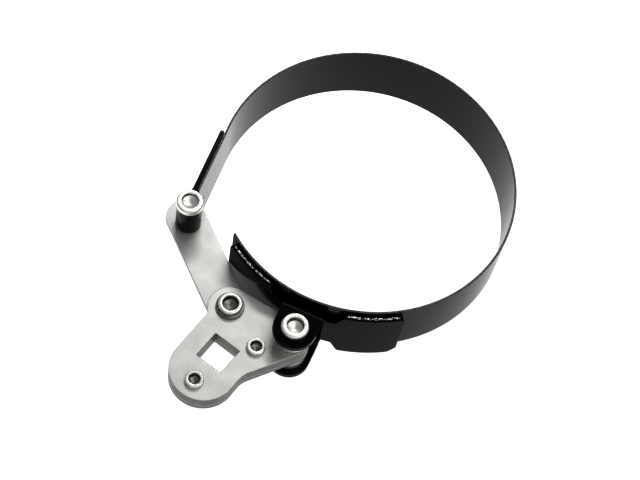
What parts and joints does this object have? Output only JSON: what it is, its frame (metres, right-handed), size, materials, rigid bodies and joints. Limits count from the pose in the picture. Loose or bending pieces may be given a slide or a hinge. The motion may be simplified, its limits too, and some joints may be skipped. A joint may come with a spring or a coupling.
{
  "type": "oil filter wrench",
  "caption": "Band oil filter wrench: a split steel band is tightened by a square-driven lever and a link.",
  "frame": {"origin": "centre of the object's box, on the level of its lowest face", "axes": "+Z along the band's axis and all the pins, up through their open heads; +Y from the clevis pin towards the band's axis; +X completes the frame"},
  "size_m": [0.142, 0.19, 0.0371],
  "materials": {
    "band_black": "satin",
    "bracket_black": "gloss",
    "lever_satin": "satin",
    "pin_bright": "polished",
    "weld_steel": "satin"
  },
  "bodies": {
    "clevis_side": {"band_fixed_run": "band_black", "clevis_bracket": "bracket_black", "weld_bead_left": "weld_steel", "weld_bead_right": "weld_steel", "clevis_pin": "pin_bright", "clevis_sleeve_upper": "pin_bright", "clevis_sleeve_lower": "pin_bright"},
    "flex_1": {"band_flex_run_1": "band_black"},
    "flex_2": {"band_flex_run_2": "band_black"},
    "flex_3": {"band_flex_run_3": "band_black"},
    "hinged_end": {"band_hinged_run": "band_black", "hinge_strip": "bracket_black", "eye_pin": "pin_bright"},
    "lever": {"lever_top_plate": "lever_satin", "lever_spacer_plate": "lever_satin", "lever_bottom_plate": "lever_satin", "lever_rivet_inner": "pin_bright", "lever_rivet_outer": "pin_bright", "link_pin": "pin_bright", "link_pin_washer": "pin_bright"},
    "link": {"link_bar": "lever_satin"}
  },
  "joints": [
    {"name": "lever_pivot", "type": "hinge", "parent": "clevis_side", "child": "lever", "pos_m": [0.00453, -0.05145, 0.0169], "axis": [0, 0, 1], "range_deg": [0, 51]},
    {"name": "link_pivot", "type": "hinge", "parent": "lever", "child": "link", "pos_m": [-0.02567, -0.04945, 0.0169], "axis": [0, 0, 1], "range_deg": [-65.03, 0]},
    {"name": "band_flex_1", "type": "hinge", "parent": "clevis_side", "child": "flex_1", "pos_m": [0.06482, 0.0017, 0.0196], "axis": [0, 0, 1], "range_deg": [0, 3.09]},
    {"name": "band_flex_2", "type": "hinge", "parent": "flex_1", "child": "flex_2", "pos_m": [0.06385, 0.05748, 0.0196], "axis": [0, 0, 1], "range_deg": [0, 3.09]},
    {"name": "band_flex_3", "type": "hinge", "parent": "flex_2", "child": "flex_3", "pos_m": [0.02049, 0.09259, 0.0196], "axis": [0, 0, 1], "range_deg": [0, 3.09]},
    {"name": "band_flex_4", "type": "hinge", "parent": "flex_3", "child": "hinged_end", "pos_m": [-0.03427, 0.08195, 0.0196], "axis": [0, 0, 1], "range_deg": [0, 3.09]}
  ],
  "couplings": [
    {"joint": "link_pivot", "follows": "lever_pivot", "ratio": -1.2731},
    {"joint": "band_flex_1", "follows": "lever_pivot", "ratio": 0.0597},
    {"joint": "band_flex_2", "follows": "lever_pivot", "ratio": 0.0597},
    {"joint": "band_flex_3", "follows": "lever_pivot", "ratio": 0.0597},
    {"joint": "band_flex_4", "follows": "lever_pivot", "ratio": 0.0597}
  ]
}
